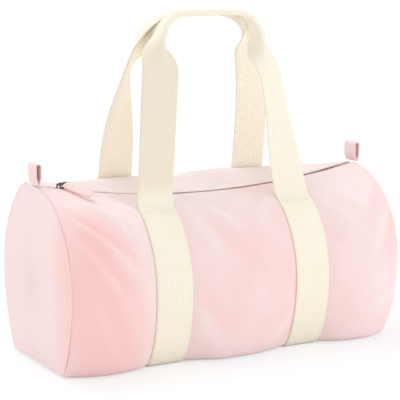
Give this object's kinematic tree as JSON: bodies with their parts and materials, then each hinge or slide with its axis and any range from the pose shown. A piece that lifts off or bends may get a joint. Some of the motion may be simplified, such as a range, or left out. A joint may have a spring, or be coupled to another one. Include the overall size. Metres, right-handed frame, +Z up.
{
  "type": "barrel bag",
  "caption": "Barrel bag of pink canvas: round top, flat base, long zip, webbing straps that run up into carrying handles, and folded loop tabs at the ends.",
  "frame": {"origin": "under the middle of the bag, on the surface that it stands on", "axes": "+X along the bag to its right end, the front faces -Y, +Z up"},
  "size_m": [0.499, 0.234, 0.4462],
  "materials": {
    "body_canvas": "soft heavy cotton canvas, pale pink, slightly creased",
    "binding_tape": "thin woven cotton tape inside the bag",
    "zip_tape": "herringbone zip tape in pale pink",
    "zip_metal": "antique dark bronze, worn brighter on the edges",
    "webbing": "cream cotton webbing with a fine lengthwise rib",
    "thread": "cream sewing thread in dense rows"
  },
  "bodies": {
    "bag": {"body_panel": "body_canvas", "left_end_panel": "body_canvas", "right_end_panel": "body_canvas", "left_seam_binding": "binding_tape", "right_seam_binding": "binding_tape", "zip_tape_front": "zip_tape", "zip_tape_back": "zip_tape", "zip_teeth_front": "zip_metal", "zip_teeth_back": "zip_metal", "zip_stops": "zip_metal", "left_strap_front": "webbing", "left_strap_back": "webbing", "left_strap_base": "webbing", "right_strap_front": "webbing", "right_strap_back": "webbing", "right_strap_base": "webbing", "bar_tacks": "thread"},
    "slider": {"zip_slider": "zip_metal"},
    "link": {"pull_link": "zip_metal"},
    "puller": {"puller": "body_canvas"},
    "front_handle": {"front_handle": "webbing"},
    "back_handle": {"back_handle": "webbing"},
    "left_tab": {"left_tab": "body_canvas"},
    "right_tab": {"right_tab": "body_canvas"}
  },
  "joints": [
    {"name": "zip_travel", "type": "hinge", "parent": "bag", "child": "slider", "pos_m": [0, 0, 1.355], "axis": [0, -1, 0], "range_deg": [0, 20.69]},
    {"name": "link_swing", "type": "hinge", "parent": "slider", "child": "link", "pos_m": [-0.20547, 0, 0.22935], "axis": [-0.9837, 0, 0.1796], "range_deg": [0, 95]},
    {"name": "puller_lift", "type": "hinge", "parent": "link", "child": "puller", "pos_m": [-0.2021, -0.00805, 0.22873], "axis": [-0.8448, -0.3201, -0.4289], "range_deg": [0, 85]},
    {"name": "front_handle_swing", "type": "hinge", "parent": "bag", "child": "front_handle", "pos_m": [0, -0.05928, 0.20226], "axis": [1, 0, 0], "range_deg": [0, 100]},
    {"name": "back_handle_swing", "type": "hinge", "parent": "bag", "child": "back_handle", "pos_m": [0, 0.05928, 0.22173], "axis": [-1, 0, 0], "range_deg": [0, 100]},
    {"name": "left_tab_flex", "type": "hinge", "parent": "bag", "child": "left_tab", "pos_m": [-0.24, 0, 0.23182], "axis": [0, 1, 0], "range_deg": [-60, 45]},
    {"name": "right_tab_flex", "type": "hinge", "parent": "bag", "child": "right_tab", "pos_m": [0.24, 0, 0.23182], "axis": [0, 1, 0], "range_deg": [-45, 60]}
  ]
}
